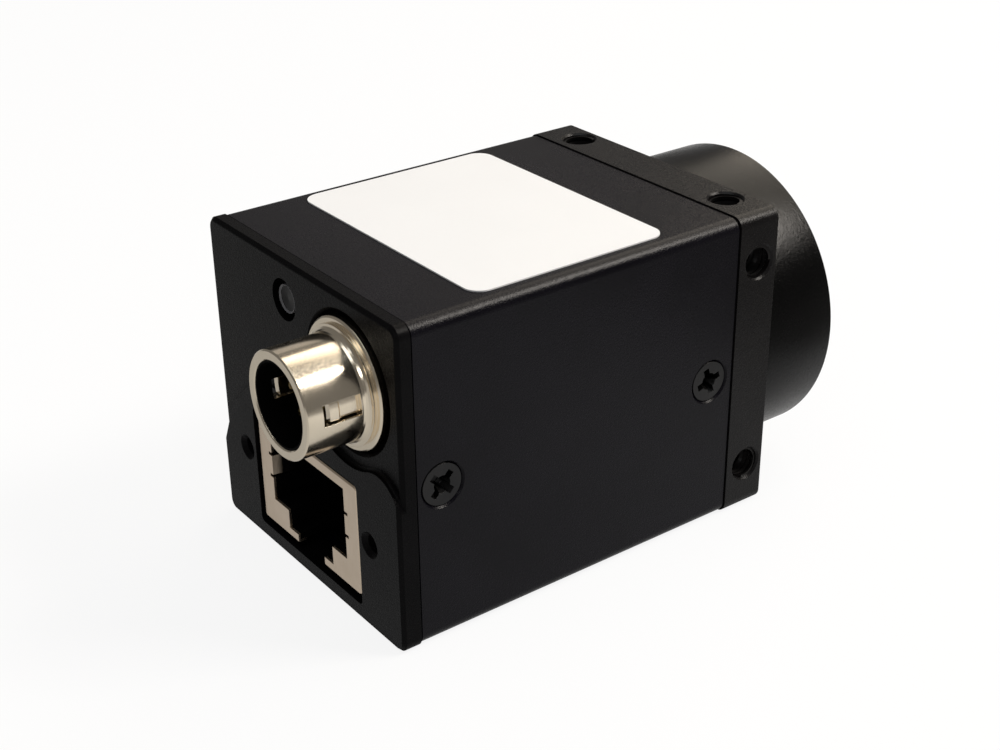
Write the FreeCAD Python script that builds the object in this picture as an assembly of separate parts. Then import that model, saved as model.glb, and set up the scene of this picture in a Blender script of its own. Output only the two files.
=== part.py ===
import FreeCAD, Part
import math
import os

# Machine vision camera with a screw lens mount, a network jack and a round signal connector.
# Millimetres. +Z is up, -Y is the lens side, +Y is the connector side.
# The origin is the centre of the lens flange face, on the optical axis.

V = FreeCAD.Vector
X_AXIS = V(1, 0, 0)
Y_AXIS = V(0, 1, 0)
Z_AXIS = V(0, 0, 1)

# Housing
body_width = 29.0
body_height = 29.0
body_length = 40.0
edge_radius = 1.05
end_chamfer = 0.3
seam_width = 0.16
seam_depth = 0.45
block_thickness = 4.8
rim_thickness = 1.9
sleeve_inset = 0.1
sleeve_wall = 1.2
sleeve_inner_radius = 0.5
slip_fit = 0.1

# Lens mount ring, 1 inch - 32 thread
mount_diameter = 28.0
mount_length = 8.6
mount_chamfer = 0.35
thread_bore = 24.64
thread_length = 5.0
relief_length = 0.8
relief_depth = 0.4
mount_aperture = 22.0
mount_spigot_diameter = 24.9
mount_spigot_length = 2.0
ring_fit = 0.05

# Optical filter in the front block
filter_bore_diameter = 21.9
filter_bore_depth = 2.0
filter_diameter = 21.5
filter_thickness = 1.1
filter_seal_thickness = 0.4
filter_seal_width = 1.0
retainer_length = 1.4
retainer_width = 1.5
retainer_slot_width = 1.2
retainer_slot_depth = 0.6

# Front block behind its plate
web_thickness = 1.6
front_spigot_length = 5.6
front_spigot_wall = 2.2
post_size = 5.2
window_width = 12.4
window_height = 10.6
window_radius = 1.0

# Tapped mounting holes in the front block, M3
fixing_spacing = 20.0
fixing_setback = 2.3
fixing_hole_radius = 1.5
fixing_mouth_radius = 1.68
fixing_depth = 2.6

# Image sensor
flange_focal_distance = 17.526
die_width = 8.4
die_height = 7.0
die_thickness = 0.3
package_width = 15.6
package_height = 13.4
cavity_width = 10.6
cavity_height = 9.0
lid_width = 12.4
lid_height = 10.6
lid_thickness = 0.55
lid_to_die = 0.45
gasket_gap = 0.2

# Circuit boards and the spacers between them
board_margin = 0.3
sensor_board_thickness = 1.0
processor_board_thickness = 1.0
interface_board_thickness = 1.2
front_gap = 4.2
rear_gap = 8.2
board_notch = 0.8
spacer_inset = 2.5
spacer_flats = 3.0
stud_radius = 0.75
stud_length = 3.0
stud_hole_depth = 3.2
stud_fit = 0.1
board_screw_head_radius = 1.4
board_screw_head_height = 0.9

# Parts on the boards
stack_connector_width = 14.0
stack_connector_height = 3.4
stack_connector_inset = 4.9
processor_size = 12.0
processor_height = 1.4
thermal_pad_thickness = 1.5
spreader_thickness = 1.2
spreader_height = 14.0
spreader_flange = 3.0
memory_width = 7.5
memory_depth = 10.0
memory_height = 1.0
memory_spacing = 10.5
transformer_width = 13.0
transformer_depth = 8.6
transformer_height = 3.6
transformer_drop = 7.6
inductor_size = 4.0
inductor_height = 2.6
capacitor_radius = 1.5
capacitor_height = 4.4

# Rear cover
rear_step = 0.45
plate_depth = 2.9
lip_length = 1.5
lip_wall = 1.3
ear_length = 5.5
ear_thickness = 2.7
ear_half_height = 2.0
step_hollow_radius = 7.17
step_shoulder_radius = 3.0
step_shoulder_inset = 2.9
step_crest_radius = 12.3
step_crest_inset = 12.55
step_crest_end = 25.0
step_foot_radius = 0.25

# Network jack
jack_width = 16.0
jack_height = 10.4
jack_drop = 2.2
jack_recess = 0.2
jack_side_gap = 0.4
jack_top_gap = 0.5
jack_bottom_gap = 0.65
cutout_radius = 0.5
shield_thickness = 0.25
shield_gap = 0.03
shield_edge_radius = 0.35
plug_half_width = 5.95
plug_top = 1.0
plug_height = 6.75
latch_half_width = 3.6
latch_height = 1.8
notch_half_width = 2.2
plug_depth = 12.0
shield_slot_depth = 3.0
spring_top = 2.4
spring_height = 1.9
spring_reach = 0.7
spring_length = 5.2
relief_depth_x = 0.5
relief_margin = 0.3
contact_count = 8
contact_pitch = 1.02
contact_width = 0.4
contact_thickness = 0.3
contact_drop = 2.1

# Screw locks beside the jack, M2
lock_spacing = 20.0
lock_height = 8.35
lock_tap_radius = 0.8
lock_mouth_radius = 1.2
lock_depth = 4.0
lock_boss_radius = 1.7
lock_boss_length = 1.7

# Round signal connector
io_inset = 7.25
io_reach = 5.75
io_shell_radius = 4.45
io_bore_radius = 3.6
io_mouth_chamfer = 0.1
io_lip_chamfer = 0.12
io_collar_radius = 5.0
io_collar_length = 0.3
io_neck_radius = 0.55
io_flange_radius = 5.52
io_flange_thickness = 1.2
io_flange_chamfer = 0.15
io_barrel_length = 5.0
io_hole_fit = 0.12
io_seat_fit = 0.33
io_seat_chamfer = 0.25
io_insulator_front = 0.6
io_insulator_fit = 0.05
io_pin_count = 6
io_pin_radius = 0.5
io_pin_circle = 2.2
io_pin_first_angle = 0.0
io_pin_set_back = 2.4
io_pin_fit = 0.02
io_pin_tail = 1.2
window_start = 1.0
window_end = 4.3
window_low = -0.43
window_high = 1.3
tongue_gap = 0.16
tongue_end = 2.7
tongue_outer = 4.02
tongue_neck = 3.8
lug_start = 2.85
lug_end = 3.65
lug_outer = 4.2
liner_thickness = 0.12
liner_set_back = 0.12
io_nut_radius = 5.4
io_nut_thickness = 1.8
io_nut_slot = 1.4
io_board_half = 4.4
io_board_thickness = 1.0
io_header_width = 7.0
io_header_height = 1.4
io_header_drop = 3.6

# Status light
light_x = 2.0
light_drop = 3.5
light_well_radius = 1.82
light_well_depth = 0.9
light_pipe_radius = 1.25
light_pipe_fit = 0.08
light_pipe_recess = 0.25
light_pipe_edge = 0.2
led_width = 2.2
led_depth = 1.6
led_height = 0.8
led_gap = 0.15

# Side screws, M2 countersunk
side_screw_setback = 2.55
side_screw_rear_setback = 2.4
side_head_radius = 1.95
side_sink_radius = 2.1
side_hole_radius = 1.1
side_head_recess = 0.1
side_shank_radius = 0.95
side_thread_fit = 0.03
side_screw_length = 3.6
side_tip_room = 0.3

# Name label
label_width = 25.8
label_length = 19.6
label_radius = 1.5
label_thickness = 0.12

# Stations along the optical axis
block_front = mount_length
block_rear = block_front + block_thickness
rear_face = block_front + body_length
low_face = rear_face - rear_step
cover_seam = rear_face - rim_thickness
plate_inside = rear_face - plate_depth
filter_seat = block_front + mount_spigot_length + filter_bore_depth
web_rear = filter_seat + web_thickness
sensor_board_front = block_rear + front_spigot_length
sensor_board_rear = sensor_board_front + sensor_board_thickness
processor_board_front = sensor_board_rear + front_gap
processor_board_rear = processor_board_front + processor_board_thickness
interface_board_front = processor_board_rear + rear_gap
interface_board_rear = interface_board_front + interface_board_thickness
die_front = flange_focal_distance
package_front = die_front - lid_to_die
jack_face = rear_face - jack_recess

# Half sizes across the body
sleeve_half_x = body_width / 2 - sleeve_inset
sleeve_half_z = body_height / 2 - sleeve_inset
bore_half_x = sleeve_half_x - sleeve_wall
bore_half_z = sleeve_half_z - sleeve_wall
spigot_half_x = bore_half_x - slip_fit
spigot_half_z = bore_half_z - slip_fit
board_half_x = bore_half_x - board_margin
board_half_z = bore_half_z - board_margin
spacer_x = spigot_half_x - spacer_inset
spacer_z = spigot_half_z - spacer_inset

# Places on the rear face
jack_low = -body_height / 2 + jack_drop
jack_high = jack_low + jack_height
plug_high = jack_high - plug_top
plug_low = plug_high - plug_height
latch_low = plug_low - latch_height
lock_z = -body_height / 2 + lock_height
io_x = -body_width / 2 + io_inset
io_z = body_height / 2 - io_inset
light_z = body_height / 2 - light_drop
side_screw_y = (block_rear + side_screw_setback, cover_seam - side_screw_rear_setback)


def bar(x0, x1, y0, y1, z0, z1, radius=0.0):
    """A block, with its edges along Y rounded."""
    solid = Part.makeBox(x1 - x0, y1 - y0, z1 - z0, V(x0, y0, z0))
    if radius:
        solid = solid.makeFillet(radius, [edge for edge in solid.Edges if runs_along_y(edge)])
    return solid


def runs_along_y(edge):
    ends = [vertex.Point for vertex in edge.Vertexes]
    return abs(ends[0].x - ends[1].x) < 1e-6 and abs(ends[0].z - ends[1].z) < 1e-6


def centred_bar(half_x, half_z, y0, y1, radius=0.0):
    return bar(-half_x, half_x, y0, y1, -half_z, half_z, radius)


def rod(radius, y0, y1, x=0.0, z=0.0):
    """A cylinder along Y."""
    return Part.makeCylinder(radius, y1 - y0, V(x, y0, z), Y_AXIS)


def tube(outer, inner, y0, y1, x=0.0, z=0.0):
    return rod(outer, y0, y1, x, z).cut(rod(inner, y0, y1, x, z))


def chamfer_end(solid, y, size):
    """Break every edge of the end face at y."""
    edges = [edge for edge in solid.Edges if all(abs(v.Point.y - y) < 1e-6 for v in edge.Vertexes)
             and abs(edge.CenterOfMass.y - y) < 1e-6]
    return solid.makeChamfer(size, edges)


def turned(points, x=0.0, z=0.0):
    """A solid of revolution about a line along Y; the outline's points are (radius, y)."""
    corners = [V(x + radius, y, z) for radius, y in points]
    face = Part.Face(Part.makePolygon(corners + corners[:1]))
    return face.revolve(V(x, 0, z), Y_AXIS, 360)


def tapped_hole(mouth, inward, tap_radius, mouth_radius, depth):
    """A flat-bottomed hole with a 45 degree mouth."""
    hole = Part.makeCylinder(tap_radius, depth, mouth, inward)
    sink = Part.makeCone(mouth_radius, tap_radius, mouth_radius - tap_radius, mouth, inward)
    return hole.fuse(sink)


def sides():
    return (-1, 1)


def corners(half_x, half_z):
    return [(x * half_x, z * half_z) for x in sides() for z in sides()]


def prism_xz(points, y0, y1):
    """A straight-sided prism along Y; the outline's points are (x, z)."""
    ring = [V(x, y0, z) for x, z in points]
    return Part.Face(Part.makePolygon(ring + ring[:1])).extrude(V(0, y1 - y0, 0))


def save(node, *solids):
    shape = solids[0] if len(solids) == 1 else Part.makeCompound(list(solids))
    shape.exportStep(os.path.join("parts", node + ".step"))
    print(node, len(shape.Solids), "solids", round(shape.Volume, 3), "mm3", shape.isValid())


# ---------------------------------------------------------------- front end

def front_block():
    """Machined front housing: plate, filter seat, sensor window and the spigot in the sleeve."""
    half_x, half_z = body_width / 2, body_height / 2
    plate = centred_bar(half_x, half_z, block_front, block_rear - seam_width, edge_radius)
    plate = chamfer_end(plate, block_front, end_chamfer)
    plate = plate.fuse(seam_rebate(block_rear - seam_width, block_rear))
    spigot = centred_bar(spigot_half_x, spigot_half_z, block_rear, sensor_board_front, sleeve_inner_radius)
    block = plate.fuse(spigot)
    block = block.cut(spigot_cavity())
    block = block.cut(rod(mount_spigot_diameter / 2 + ring_fit, block_front,
                          block_front + mount_spigot_length))
    block = block.cut(rod(filter_bore_diameter / 2, block_front, filter_seat))
    window = centred_bar(window_width / 2, window_height / 2, filter_seat, web_rear, window_radius)
    block = block.cut(window)
    for hole in fixing_holes():
        block = block.cut(hole)
    for x, z in corners(spacer_x, spacer_z):
        block = block.cut(rod(stud_radius, sensor_board_front - stud_hole_depth, sensor_board_front, x, z))
    for side in sides():
        block = block.cut(side_thread(side, side_screw_y[0]))
    return block.removeSplitter()


def seam_rebate(y0, y1):
    """The shallow rebate beside each joint face, seen as a fine dark line at the sleeve's end."""
    return centred_bar(body_width / 2 - seam_depth, body_height / 2 - seam_depth, y0, y1,
                       edge_radius - seam_depth)


def spigot_cavity():
    """A cross-shaped hollow that leaves four corner posts and two side bosses."""
    inner_x = spigot_half_x - front_spigot_wall
    inner_z = spigot_half_z - front_spigot_wall
    post_x = spigot_half_x - post_size
    post_z = spigot_half_z - post_size
    wide = centred_bar(inner_x, post_z, web_rear, sensor_board_front)
    tall = centred_bar(post_x, inner_z, web_rear, sensor_board_front)
    cavity = wide.fuse(tall)
    for side in sides():
        cavity = cavity.cut(side_boss(side, web_rear, side_screw_y[0] + ear_half_height))
    return cavity


def side_boss(side, y0, y1):
    """The thickened wall that a side screw threads into."""
    outer = side * spigot_half_x
    inner = side * (spigot_half_x - ear_thickness)
    return bar(min(inner, outer), max(inner, outer), y0, y1, -ear_half_height, ear_half_height)


def side_thread(side, y):
    depth = side_screw_length + side_tip_room
    start = V(side * sleeve_half_x, y, 0)
    return Part.makeCylinder(side_shank_radius + side_thread_fit, depth, start, V(-side, 0, 0))


def fixing_holes():
    """Two M3 holes on each of the four sides."""
    y = block_front + fixing_setback
    for along in sides():
        offset = along * fixing_spacing / 2
        for side in sides():
            top = V(offset, y, side * body_height / 2)
            yield tapped_hole(top, V(0, 0, -side), fixing_hole_radius, fixing_mouth_radius, fixing_depth)
            flank = V(side * body_width / 2, y, offset)
            yield tapped_hole(flank, V(-side, 0, 0), fixing_hole_radius, fixing_mouth_radius, fixing_depth)


def lens_mount_ring():
    """Turned ring with the lens thread, its relief groove, a shoulder and a spigot."""
    outer = mount_diameter / 2
    thread = thread_bore / 2
    relief = thread + relief_depth
    aperture = mount_aperture / 2
    shoulder = thread_length + relief_length
    end = mount_length + mount_spigot_length
    return turned([
        (thread, 0), (outer - mount_chamfer, 0), (outer, mount_chamfer),
        (outer, mount_length), (mount_spigot_diameter / 2, mount_length),
        (mount_spigot_diameter / 2, end), (aperture, end), (aperture, shoulder),
        (relief, shoulder), (relief, thread_length), (thread, thread_length)])


def filter_stack():
    """Seal, glass and threaded retainer, from the seat forwards."""
    seal_front = filter_seat - filter_seal_thickness
    glass_front = seal_front - filter_thickness
    radius = filter_diameter / 2
    seal = tube(radius, radius - filter_seal_width, seal_front, filter_seat)
    glass = rod(radius, glass_front, seal_front)
    retainer_front = glass_front - retainer_length
    retainer_radius = filter_bore_diameter / 2 - ring_fit
    retainer = tube(retainer_radius, retainer_radius - retainer_width, retainer_front, glass_front)
    slot = bar(-retainer_radius, retainer_radius, retainer_front, retainer_front + retainer_slot_depth,
               -retainer_slot_width / 2, retainer_slot_width / 2)
    return seal, glass, retainer.cut(slot)


# ---------------------------------------------------------------- image sensor

def sensor_parts():
    """Ceramic package with its cavity, the die in it, the glass lid and the dust gasket."""
    die_rear = die_front + die_thickness
    package = centred_bar(package_width / 2, package_height / 2, package_front, sensor_board_front)
    package = package.cut(centred_bar(cavity_width / 2, cavity_height / 2, package_front, die_rear))
    die = centred_bar(die_width / 2, die_height / 2, die_front, die_rear)
    lid = centred_bar(lid_width / 2, lid_height / 2, package_front - lid_thickness, package_front)
    gasket = centred_bar(package_width / 2, package_height / 2, web_rear, package_front)
    gasket = gasket.cut(centred_bar(lid_width / 2 + gasket_gap, lid_height / 2 + gasket_gap,
                                    web_rear, package_front))
    return package, die, lid, gasket


# ---------------------------------------------------------------- board stack

def board(y0, thickness):
    """A square board with notched corners and four clearance holes for the studs."""
    y1 = y0 + thickness
    plate = centred_bar(board_half_x, board_half_z, y0, y1, board_notch)
    for x, z in corners(spacer_x, spacer_z):
        plate = plate.cut(rod(stud_radius + stud_fit, y0, y1, x, z))
    return plate


def spacers(y0, y1):
    """Hexagonal spacers with a stud at the front end and a tapped hole at the rear end."""
    solids = []
    for x, z in corners(spacer_x, spacer_z):
        spacer = hexagon(spacer_flats, y0, y1, x, z)
        spacer = spacer.fuse(rod(stud_radius, y0 - stud_length, y0, x, z))
        spacer = spacer.cut(rod(stud_radius, y1 - stud_hole_depth, y1, x, z))
        solids.append(spacer)
    return solids


def hexagon(flats, y0, y1, x, z):
    radius = flats / math.sqrt(3)
    points = [(x + radius * math.cos(math.radians(60 * i)), z + radius * math.sin(math.radians(60 * i)))
              for i in range(6)]
    return prism_xz(points, y0, y1)


def board_screws():
    """Pan head screws that clamp the interface board on the rear spacers."""
    solids = []
    y = interface_board_rear
    for x, z in corners(spacer_x, spacer_z):
        head = rod(board_screw_head_radius, y, y + board_screw_head_height, x, z)
        solids.append(head.fuse(rod(stud_radius, y - stud_length, y, x, z)))
    return solids


def stack_connector(y0, y1):
    z = board_half_z - stack_connector_inset
    return bar(-stack_connector_width / 2, stack_connector_width / 2, y0, y1,
               z, z + stack_connector_height)


def heat_path():
    """Processor, soft pad and the bent spreader that takes the heat to the sleeve's sides."""
    chip_rear = processor_board_rear + processor_height
    chip = centred_bar(processor_size / 2, processor_size / 2, processor_board_rear, chip_rear)
    pad_rear = chip_rear + thermal_pad_thickness
    pad = centred_bar(processor_size / 2, processor_size / 2, chip_rear, pad_rear)
    plate_rear = pad_rear + spreader_thickness
    half_z = spreader_height / 2
    spreader = centred_bar(spigot_half_x, half_z, pad_rear, plate_rear + spreader_flange)
    hollow = centred_bar(spigot_half_x - spreader_thickness, half_z, plate_rear,
                         plate_rear + spreader_flange)
    return chip, pad, spreader.cut(hollow)


def memory_chips():
    y1 = processor_board_front
    y0 = y1 - memory_height
    return [bar(side * memory_spacing / 2 - memory_width / 2, side * memory_spacing / 2 + memory_width / 2,
                y0, y1, -memory_depth / 2, memory_depth / 2) for side in sides()]


def transformer():
    y1 = interface_board_front
    z = -transformer_drop
    return bar(-transformer_width / 2, transformer_width / 2, y1 - transformer_height, y1,
               z - transformer_depth / 2, z + transformer_depth / 2)


def power_parts():
    """Two inductors and two capacitors on the sensor side of the interface board."""
    y1 = interface_board_front
    half = inductor_size / 2
    inductors = [bar(x - half, x + half, y1 - inductor_height, y1, -half, half, half / 3)
                 for x in (-spacer_x / 2, spacer_x / 2)]
    y2 = interface_board_rear
    capacitors = [rod(capacitor_radius, y2, y2 + capacitor_height, board_half_x / 2 + side * 2 * capacitor_radius,
                      board_half_z / 3) for side in sides()]
    return inductors, capacitors


# ---------------------------------------------------------------- housing

def housing_sleeve():
    """Extruded square tube with four countersunk holes for the side screws."""
    sleeve = centred_bar(sleeve_half_x, sleeve_half_z, block_rear, cover_seam, edge_radius)
    sleeve = sleeve.cut(centred_bar(bore_half_x, bore_half_z, block_rear, cover_seam, sleeve_inner_radius))
    for side in sides():
        for y in side_screw_y:
            mouth = V(side * sleeve_half_x, y, 0)
            sleeve = sleeve.cut(tapped_hole(mouth, V(-side, 0, 0), side_hole_radius, side_sink_radius,
                                            2 * sleeve_wall))
    return sleeve


def step_outline():
    """The raised lower field's S-shaped upper edge: shoulder, hollow round the connector, crest."""
    shoulder_x = -body_width / 2 + step_shoulder_inset
    shoulder_z = tangent_centre_z(shoulder_x, step_shoulder_radius)
    crest_x = body_width / 2 - step_crest_inset
    crest_z = tangent_centre_z(crest_x, step_crest_radius)
    to_shoulder = math.degrees(math.atan2(io_z - shoulder_z, io_x - shoulder_x))
    to_crest = math.degrees(math.atan2(crest_z - io_z, crest_x - io_x))
    arcs = [
        (shoulder_x, shoulder_z, step_shoulder_radius, 180.0, to_shoulder),
        (io_x, io_z, step_hollow_radius, to_shoulder - 180.0, to_crest),
        (crest_x, crest_z, step_crest_radius, to_crest + 180.0, step_crest_end),
    ]
    edges = []
    for x, z, radius, first, last in arcs:
        points = [on_circle(x, z, radius, angle) for angle in (first, (first + last) / 2, last)]
        edges.append(Part.Arc(*points).toShape())
    start = on_circle(shoulder_x, shoulder_z, step_shoulder_radius, 180.0)
    crest_end = on_circle(crest_x, crest_z, step_crest_radius, step_crest_end)
    beyond = 1.0
    side_x = body_width / 2 + beyond
    fall = (side_x - crest_end.x) / math.tan(math.radians(step_crest_end))
    rest = [crest_end, V(side_x, 0, crest_end.z - fall), V(side_x, 0, -body_height / 2 - beyond),
            V(start.x, 0, -body_height / 2 - beyond), start]
    edges += [Part.makeLine(a, b) for a, b in zip(rest, rest[1:])]
    return Part.Face(Part.Wire(Part.__sortEdges__(edges)))


def on_step_foot(edge):
    """True for the inner edges where the raised field's wall meets the low face."""
    middle = edge.valueAt((edge.FirstParameter + edge.LastParameter) / 2)
    inside_x = abs(middle.x) < body_width / 2 - end_chamfer - 0.01
    inside_z = abs(middle.z) < body_height / 2 - end_chamfer - 0.01
    level = all(abs(vertex.Point.y - low_face) < 1e-6 for vertex in edge.Vertexes)
    return inside_x and inside_z and level and abs(middle.y - low_face) < 1e-6


def tangent_centre_z(x, radius):
    """Height of a circle's centre that makes it touch the hollow's circle from below."""
    reach = step_hollow_radius + radius
    return io_z - math.sqrt(reach ** 2 - (x - io_x) ** 2)


def on_circle(x, z, radius, angle):
    return V(x + radius * math.cos(math.radians(angle)), 0, z + radius * math.sin(math.radians(angle)))


def rear_cover():
    """Machined rear cover: two-level face, lip and ears in the sleeve, and the connector seats."""
    half_x, half_z = body_width / 2, body_height / 2
    start = cover_seam + seam_width
    low = chamfer_end(centred_bar(half_x, half_z, start, low_face, edge_radius), low_face, end_chamfer)
    high = chamfer_end(centred_bar(half_x, half_z, start, rear_face, edge_radius), rear_face, end_chamfer)
    raised = step_outline()
    raised.translate(V(0, cover_seam, 0))
    high = high.common(raised.extrude(V(0, rim_thickness + end_chamfer, 0)))
    cover = low.fuse(high).removeSplitter()
    cover = cover.makeFillet(step_foot_radius, [edge for edge in cover.Edges if on_step_foot(edge)])
    cover = cover.fuse(seam_rebate(cover_seam, start))
    inner = centred_bar(spigot_half_x, spigot_half_z, plate_inside - lip_length, cover_seam, sleeve_inner_radius)
    inner = inner.cut(centred_bar(spigot_half_x - lip_wall, spigot_half_z - lip_wall,
                                  plate_inside - lip_length, plate_inside))
    cover = cover.fuse(inner)
    for side in sides():
        cover = cover.fuse(side_boss(side, plate_inside - ear_length, plate_inside))
        cover = cover.fuse(rod(lock_boss_radius, plate_inside - lock_boss_length, plate_inside,
                               side * lock_spacing / 2, lock_z))
    cover = cover.cut(jack_opening())
    cover = cover.cut(io_seat())
    cover = cover.cut(light_hole())
    for side in sides():
        mouth = V(side * lock_spacing / 2, rear_face, lock_z)
        cover = cover.cut(tapped_hole(mouth, V(0, -1, 0), lock_tap_radius, lock_mouth_radius, lock_depth))
        cover = cover.cut(side_thread(side, side_screw_y[1]))
    return cover.removeSplitter()


def jack_opening():
    """Rectangular cut-out for the jack; the lip below it is open as well."""
    half = jack_width / 2 + jack_side_gap
    low = jack_low - jack_bottom_gap
    hole = bar(-half, half, plate_inside, rear_face, low, jack_high + jack_top_gap, cutout_radius)
    under = bar(-half, half, plate_inside - lip_length, plate_inside, -body_height / 2, jack_high + jack_top_gap)
    return hole.fuse(under)


def io_seat():
    """Stepped bore for the round connector, with room for its nut inside."""
    seat_radius = io_flange_radius + io_seat_fit
    bore = rod(io_shell_radius + io_hole_fit, plate_inside, rear_face, io_x, io_z)
    seat = rod(seat_radius, rear_face - io_flange_thickness, rear_face, io_x, io_z)
    mouth = Part.makeCone(seat_radius, seat_radius + io_seat_chamfer, io_seat_chamfer,
                          V(io_x, low_face - io_seat_chamfer, io_z), Y_AXIS)
    room = rod(io_nut_radius + 2 * io_seat_fit, plate_inside - ear_length, plate_inside, io_x, io_z)
    return bore.fuse(seat).fuse(mouth).fuse(room)


def light_hole():
    bore = rod(light_pipe_radius + light_pipe_fit, plate_inside - lip_length, low_face, light_x, light_z)
    return bore.fuse(rod(light_well_radius, low_face - light_well_depth, low_face, light_x, light_z))


# ---------------------------------------------------------------- network jack

def plug_profile(y0, y1, grow=0.0):
    """The stepped opening that takes the plug and its latch."""
    points = [
        (plug_half_width + grow, plug_high + grow), (plug_half_width + grow, plug_low - grow),
        (latch_half_width + grow, plug_low - grow), (latch_half_width + grow, latch_low - grow),
        (notch_half_width, latch_low - grow), (notch_half_width, jack_low - grow),
    ]
    mirrored = [(-x, z) for x, z in reversed(points)]
    return prism_xz(points + mirrored, y0, y1)


def spring_reliefs(y0, y1):
    """Notches in the opening's sides that leave room for the springs."""
    half = plug_half_width + relief_depth_x
    high = plug_high - spring_top + relief_margin
    return bar(-half, half, y0, y1, high - spring_height - 2 * relief_margin, high)


def jack_body():
    """Moulded insert with the plug's stepped cavity."""
    inset = shield_thickness + shield_gap
    front = jack_face - inset
    body = bar(-jack_width / 2 + inset, jack_width / 2 - inset, interface_board_rear, front,
               jack_low + inset, jack_high - inset)
    body = body.cut(spring_reliefs(front - spring_length, front))
    return body.cut(plug_profile(front - plug_depth, front))


def jack_shield():
    """Folded sheet can with a stepped opening, a split lower edge and two side springs."""
    half = jack_width / 2
    can = bar(-half, half, interface_board_rear, jack_face, jack_low, jack_high, shield_edge_radius)
    can = chamfer_end(can, jack_face, shield_thickness / 2)
    can = can.cut(bar(-half + shield_thickness, half - shield_thickness, interface_board_rear,
                      jack_face - shield_thickness, jack_low + shield_thickness, jack_high - shield_thickness))
    can = can.cut(plug_profile(jack_face - shield_thickness, jack_face, shield_gap))
    can = can.cut(spring_reliefs(jack_face - shield_thickness, jack_face))
    can = can.cut(bar(-notch_half_width, notch_half_width, jack_face - shield_slot_depth, jack_face,
                      jack_low, latch_low))
    for side in sides():
        can = can.fuse(side_spring(side))
    return can.removeSplitter()


def side_spring(side):
    """A tongue of the front sheet, bent in through the opening to press on the plug."""
    edge = plug_half_width + relief_depth_x
    root = edge - 2 * shield_thickness
    bend_y = jack_face - 0.7 * spring_length
    end_y = jack_face - spring_length
    low = plug_high - spring_top - spring_height
    outline = [(edge, jack_face), (root, jack_face), (root - spring_reach, bend_y),
               (root - spring_reach / 2, end_y), (root - spring_reach / 2 + shield_thickness, end_y),
               (root - spring_reach + shield_thickness, bend_y),
               (root + shield_thickness / 2, jack_face - shield_thickness),
               (edge, jack_face - shield_thickness)]
    ring = [V(side * x, y, low) for x, y in outline]
    return Part.Face(Part.makePolygon(ring + ring[:1])).extrude(V(0, 0, spring_height))


def jack_contacts():
    """Eight sprung wires that run forward under the roof and slope back down."""
    front = jack_face - shield_thickness - shield_gap - 1.6
    back = jack_face - shield_thickness - shield_gap - plug_depth
    roof = plug_high
    tip_y = back + 2.4
    tip_z = roof - contact_drop
    thick = contact_thickness
    outline = [(back, roof), (front, roof), (front, roof - thick), (tip_y, tip_z - thick),
               (tip_y, tip_z), (front - 3 * thick, roof - thick), (back, roof - thick)]
    solids = []
    for i in range(contact_count):
        x = (i - (contact_count - 1) / 2) * contact_pitch - contact_width / 2
        ring = [V(x, y, z) for y, z in outline]
        solids.append(Part.Face(Part.makePolygon(ring + ring[:1])).extrude(V(contact_width, 0, 0)))
    return solids


# ---------------------------------------------------------------- round connector

def io_shell():
    """Turned shell: mouth, neck, flange and the barrel through the cover, with two latch windows."""
    mouth = rear_face + io_reach
    flange_front = rear_face
    flange_rear = flange_front - io_flange_thickness
    barrel_end = flange_rear - io_barrel_length
    neck_end = flange_front + io_collar_length + io_neck_radius
    neck = [(io_collar_radius - io_neck_radius * math.sin(math.radians(a)),
             neck_end - io_neck_radius * math.cos(math.radians(a))) for a in (90, 67.5, 45, 22.5, 0)]
    shell = turned([
        (io_bore_radius, barrel_end), (io_shell_radius, barrel_end), (io_shell_radius, flange_rear),
        (io_flange_radius, flange_rear), (io_flange_radius, flange_front - io_flange_chamfer),
        (io_flange_radius - io_flange_chamfer, flange_front), (io_collar_radius, flange_front)]
        + list(reversed(neck)) + [
        (io_shell_radius, mouth - io_lip_chamfer), (io_shell_radius - io_lip_chamfer, mouth),
        (io_bore_radius + io_mouth_chamfer, mouth), (io_bore_radius, mouth - io_mouth_chamfer)], io_x, io_z)
    for turn in (0, 180):
        shell = shell.cut(about_io_axis(latch_window(), turn)).fuse(about_io_axis(latch_tongue(), turn))
    return shell


def about_io_axis(solid, turn):
    turned_solid = solid.copy()
    turned_solid.rotate(V(io_x, 0, io_z), Y_AXIS, turn)
    return turned_solid


def latch_window():
    """The slot in the shell's wall that the plug's latch looks out of."""
    return bar(io_x - 2 * io_shell_radius, io_x, rear_face + window_start, rear_face + window_end,
               io_z + window_low, io_z + window_high)


def latch_tongue():
    """A tongue left standing in the window, with a thin neck and a raised lug at its tip."""
    low = io_z + window_low + tongue_gap
    high = io_z + window_high - tongue_gap
    root = rear_face + window_start - tongue_gap
    steps = [(tongue_outer, root, rear_face + tongue_end),
             (tongue_neck, rear_face + tongue_end, rear_face + lug_start),
             (lug_outer, rear_face + lug_start, rear_face + lug_end)]
    tongue = None
    for outer, y0, y1 in steps:
        arc = tube(outer, io_bore_radius, y0, y1, io_x, io_z)
        piece = arc.common(bar(io_x - outer, io_x, y0, y1, low, high))
        tongue = piece if tongue is None else tongue.fuse(piece)
    return tongue


def pin_places():
    for i in range(io_pin_count):
        angle = math.radians(io_pin_first_angle + 360.0 * i / io_pin_count)
        yield io_x + io_pin_circle * math.cos(angle), io_z + io_pin_circle * math.sin(angle)


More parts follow.
